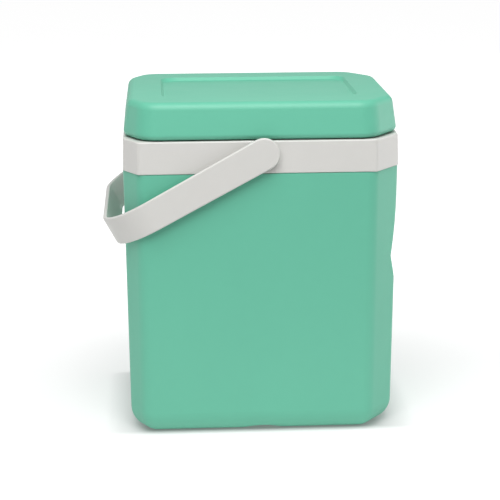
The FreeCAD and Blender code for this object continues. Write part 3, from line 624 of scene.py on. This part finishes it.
class COOLER_OT_crush_ribs(bpy.types.Operator):
    """Low upright ribs round the lid's plug, which hold it in the liner's mouth"""
    bl_idname = "cooler.crush_ribs"
    bl_label = "Make crush ribs"

    PLUG_TAPER = 1.5 * MILLIMETRE
    PLUG_ROUND = 4.0 * MILLIMETRE
    MOUTH_INSET = 29.0 * MILLIMETRE
    CORNER = 23.0 * MILLIMETRE
    RIB_SIDES = 20
    SOFT_EDGE = 0.3 * MILLIMETRE

    def execute(self, context):
        details = context.scene.cooler_details
        low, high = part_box("outer_shell")
        panel_low, panel_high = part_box("lid_inner_panel")
        plug_height = panel_high.z - panel_low.z
        rib_low = panel_low.z + self.PLUG_ROUND
        rib_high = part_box("collar")[1].z
        middle = (rib_low + rib_high) / 2
        lean = self.PLUG_TAPER * (panel_high.z - middle) / plug_height
        sunk = details.crush_radius - details.crush_proud
        inset = self.MOUTH_INSET + lean + sunk
        pattern = Pattern("plug_crush_ribs")
        loop = pattern.rounded_loop(pattern.size("Loop width", high.x - low.x - 2 * inset),
                                    pattern.size("Loop depth", high.y - low.y - 2 * inset),
                                    pattern.size("Corner", self.CORNER - sunk),
                                    pattern.size("Middle", middle))
        points = pattern.node("GeometryNodeCurveToPoints", {"mode": "COUNT"}, {
            "Curve": loop, "Count": pattern.size("Ribs", details.crush_ribs, "Int")})
        tangent = Wire(pattern, points.socket.node.outputs["Tangent"])
        facing = pattern.node("FunctionNodeAlignRotationToVector",
                              {"axis": "Y", "pivot_axis": "Z"}, {"Vector": tangent})
        plug_lean = -math.atan(self.PLUG_TAPER / plug_height)
        tilt = pattern.node("FunctionNodeAxisAngleToRotation", {},
                            {"Axis": (0.0, 1.0, 0.0), "Angle": pattern.size("Lean", plug_lean)})
        turned = pattern.node("FunctionNodeRotateRotation", {"rotation_space": "LOCAL"},
                              {"Rotation": facing, "Rotate By": tilt})
        rib = pattern.cylinder(self.RIB_SIDES, pattern.size("Rib radius", details.crush_radius),
                               pattern.size("Rib length", rib_high - rib_low))
        pattern.finish(pattern.along(points, rib, turned), "liner_white", LID, bevel=self.SOFT_EDGE)
        return {"FINISHED"}


class COOLER_OT_liner_bead(bpy.types.Operator):
    """Round bead on the flange round the liner's mouth, which the closed lid all but touches"""
    bl_idname = "cooler.liner_bead"
    bl_label = "Make liner bead"

    FLANGE_INSET = 6.0 * MILLIMETRE
    CORNER = 28.0 * MILLIMETRE
    SECTION_POINTS = 20

    def execute(self, context):
        details = context.scene.cooler_details
        low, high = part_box("inner_liner")
        width = high.x - low.x - 2 * self.FLANGE_INSET
        depth = high.y - low.y - 2 * self.FLANGE_INSET
        height = high.z - details.bead_radius + details.bead_proud
        pattern = Pattern("liner_mouth_bead")
        loop = pattern.rounded_loop(pattern.size("Bead width", width),
                                    pattern.size("Bead depth", depth),
                                    pattern.size("Corner", self.CORNER),
                                    pattern.size("Height", height))
        section = pattern.node("GeometryNodeCurvePrimitiveCircle", {"mode": "RADIUS"}, {
            "Resolution": self.SECTION_POINTS,
            "Radius": pattern.size("Bead radius", details.bead_radius)})
        tube = pattern.node("GeometryNodeCurveToMesh", {},
                            {"Curve": loop, "Profile Curve": section})
        smooth = pattern.node("GeometryNodeSetShadeSmooth", {}, {"Geometry": tube})
        pattern.finish(smooth, "liner_white", SHELL)
        return {"FINISHED"}


class COOLER_OT_ejector_marks(bpy.types.Operator):
    """Shallow round marks that the mould's ejector pins leave on the floor, between its ribs"""
    bl_idname = "cooler.ejector_marks"
    bl_label = "Make ejector marks"

    MARKS_ACROSS = 3
    MARKS_ALONG = 2
    RIBS_APART = 2
    MARK_RADIUS = 4.0 * MILLIMETRE
    MARK_HEIGHT = 0.3 * MILLIMETRE
    MARK_SIDES = 40
    SOFT_EDGE = 0.1 * MILLIMETRE

    def execute(self, context):
        details = context.scene.cooler_details
        low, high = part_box("outer_shell")
        pitch_x = (high.x - low.x - 2 * details.ring_width) / details.ribs_across
        pitch_y = (high.y - low.y - 2 * details.ring_width) / details.ribs_along
        span_x = pitch_x * self.RIBS_APART * (self.MARKS_ACROSS - 1)
        span_y = pitch_y * self.RIBS_APART * (self.MARKS_ALONG - 1)
        pattern = Pattern("floor_ejector_marks")
        grid = pattern.node("GeometryNodeMeshGrid", {}, {
            "Size X": pattern.size("Marks span X", span_x), "Vertices X": self.MARKS_ACROSS,
            "Size Y": pattern.size("Marks span Y", span_y), "Vertices Y": self.MARKS_ALONG})
        mark = pattern.cylinder(self.MARK_SIDES, pattern.size("Mark radius", self.MARK_RADIUS),
                                pattern.size("Mark height", self.MARK_HEIGHT))
        placed = pattern.moved(pattern.along(grid, mark),
                               pattern.vector(z=pattern.size("Level", details.floor_level)))
        pattern.finish(placed, "mint_shell", SHELL, bevel=self.SOFT_EDGE)
        return {"FINISHED"}


# ---------------------------------------------------------------- operator: studio
def add_soft_light(name, place, target, width, power):
    """Square soft light that faces a point."""
    lamp = bpy.data.lights.new(name, "AREA")
    lamp.size = width
    lamp.energy = power
    light = bpy.data.objects.new(name, lamp)
    light.location = place
    light.rotation_euler = (Vector(target) - Vector(place)).to_track_quat("-Z", "Y").to_euler()
    bpy.context.scene.collection.objects.link(light)


class COOLER_OT_studio(bpy.types.Operator):
    """Glowing white table with a painted shadow round the base, soft lights, white surround and the
    camera
    """
    bl_idname = "cooler.studio"
    bl_label = "Set up the studio"

    TABLE_SPAN = 24.0
    TABLE_TONES = (0.49, 0.51)
    TABLE_ROUGHNESS = 0.9
    BASE_SHRINK = 0.02
    FULL_GLOW_REACH = 1.5
    # Painted shadow round the base: share of the glow left at its darkest, and how much tighter it
    # is in front and behind than at the sides.
    PAINTED_SHADOW_GLOW = 0.3
    PAINTED_SHADOW_SQUEEZE = 3.3
    FRONT_FADE = 0.3
    FRONT_EDGE = 2.0
    SENSOR_WIDTH = 36.0
    # Place from the middle of the cooler, and width.
    LIGHTS = {
        "key": ((-0.1, -0.82, 1.28), 1.25),
        "back": ((0.0, 2.6, 0.8), 2.4),
        "right": ((1.9, 0.6, 0.2), 1.6),
        "left": ((-1.9, 1.0, 0.3), 1.6),
    }

    def execute(self, context):
        studio = context.scene.cooler_studio
        low, high = CAD_BOX
        shell_low, shell_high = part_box("outer_shell")
        middle = Vector(((shell_low.x + shell_high.x) / 2, (shell_low.y + shell_high.y) / 2,
                         (low.z + high.z) / 2))
        self.table(studio, low.z, shell_high - middle)
        self.lights(studio, middle)
        self.camera(context.scene, studio, middle + Vector(studio.aim))
        context.scene.view_settings.view_transform = "Standard"
        return {"FINISHED"}

    def table(self, studio, level, half_body):
        """White table that glows from within, and less so round the base, where its glow is dimmed
        as a painted contact shadow.
        """
        half = self.TABLE_SPAN / 2
        outline = [(-half, -half), (half, -half), (half, half), (-half, half)]
        mesh = bpy.data.meshes.new("studio_floor")
        mesh.from_pydata([(x, y, level) for x, y in outline], [], [(0, 1, 2, 3)])
        table = bpy.data.objects.new("studio_floor", mesh)
        bpy.context.scene.collection.objects.link(table)
        paper = Finish("glowing_table")
        dark, light = self.TABLE_TONES
        tone = paper.tint(paper.noise("paper"), grey(dark), grey(light))
        tooth = paper.bump(paper.noise("paper_tooth"), "paper_tooth")
        # Painted contact shadow: the glow is dimmed near the base's footprint, down to a set share.
        past_x = paper.past("X", half_body.x - self.BASE_SHRINK)
        past_y = paper.past("Y", half_body.y - self.BASE_SHRINK) * self.PAINTED_SHADOW_SQUEEZE
        away = (past_x * past_x + past_y * past_y) ** 0.5
        out_of_painted_shadow = (away / studio.painted_shadow_reach).between_0_and_1()
        glow_left_by_painted_shadow = out_of_painted_shadow * (1.0 - self.PAINTED_SHADOW_GLOW) + self.PAINTED_SHADOW_GLOW
        far = (away / self.FULL_GLOW_REACH).between_0_and_1()
        behind = (paper.axis("Y") / self.FRONT_FADE + self.FRONT_EDGE).between_0_and_1()
        glow = glow_left_by_painted_shadow * behind * (studio.near_glow + far * (1.0 - studio.near_glow))
        mesh.materials.append(paper.plastic(tone, self.TABLE_ROUGHNESS, tooth, PAPER_IOR))
        shader = paper.shader
        paper.join(shader.inputs["Emission Color"], paper.tint(glow, grey(0.0), grey(1.0)))
        shader.inputs["Emission Strength"].default_value = studio.table_glow

    def lights(self, studio, middle):
        for side, (place, width) in self.LIGHTS.items():
            add_soft_light(f"{side}_light", middle + Vector(place), middle, width,
                           getattr(studio, f"{side}_power"))
        world = bpy.data.worlds.new("white_surround")
        world.use_nodes = True
        sky = world.node_tree.nodes["Background"]
        sky.inputs["Color"].default_value = grey(1.0)
        sky.inputs["Strength"].default_value = studio.surround
        bpy.context.scene.world = world

    def camera(self, scene, studio, target):
        lens = bpy.data.cameras.new("camera")
        lens.lens = studio.lens
        lens.sensor_width = self.SENSOR_WIDTH
        camera = bpy.data.objects.new("camera", lens)
        flat = math.cos(studio.elevation)
        back = Vector((math.sin(studio.azimuth) * flat, -math.cos(studio.azimuth) * flat,
                       math.sin(studio.elevation)))
        facing = (-back).to_track_quat("-Z", "Y").to_matrix().to_4x4()
        camera.matrix_world = (Matrix.Translation(target + back * studio.distance) @ facing
                               @ Matrix.Rotation(studio.roll, 4, "Z"))
        scene.collection.objects.link(camera)
        scene.camera = camera


# ---------------------------------------------------------------- panel and registration
STEPS = (COOLER_OT_mint_shells, COOLER_OT_off_white_parts, COOLER_OT_liner_parts,
         COOLER_OT_foam_parts, COOLER_OT_floor_ribs, COOLER_OT_ejector_marks,
         COOLER_OT_crush_ribs, COOLER_OT_liner_bead, COOLER_OT_studio)
GROUPS = {"cooler_colours": CoolerColours, "cooler_details": CoolerDetails,
          "cooler_studio": CoolerStudio}


class COOLER_PT_panel(bpy.types.Panel):
    """Colours, sizes and making steps of the cooler"""
    bl_idname = "COOLER_PT_panel"
    bl_label = "Picnic cooler"
    bl_space_type = "VIEW_3D"
    bl_region_type = "UI"
    bl_category = "Cooler"

    def draw(self, context):
        for name, group in GROUPS.items():
            box = self.layout.box()
            for size in group.__annotations__:
                box.prop(getattr(context.scene, name), size)
        for step in STEPS:
            self.layout.operator(step.bl_idname)


def register():
    for made in (*GROUPS.values(), *STEPS, COOLER_PT_panel):
        bpy.utils.register_class(made)
    for name, group in GROUPS.items():
        setattr(bpy.types.Scene, name, PointerProperty(type=group))


def unregister():
    for name in GROUPS:
        delattr(bpy.types.Scene, name)
    for made in (COOLER_PT_panel, *reversed(STEPS), *reversed(GROUPS.values())):
        bpy.utils.unregister_class(made)


def run(step):
    """Call an operator by its name."""
    group, name = step.bl_idname.split(".")
    getattr(getattr(bpy.ops, group), name)()


def main():
    register()
    for step in STEPS:
        run(step)


if __name__ == "__main__":
    main()
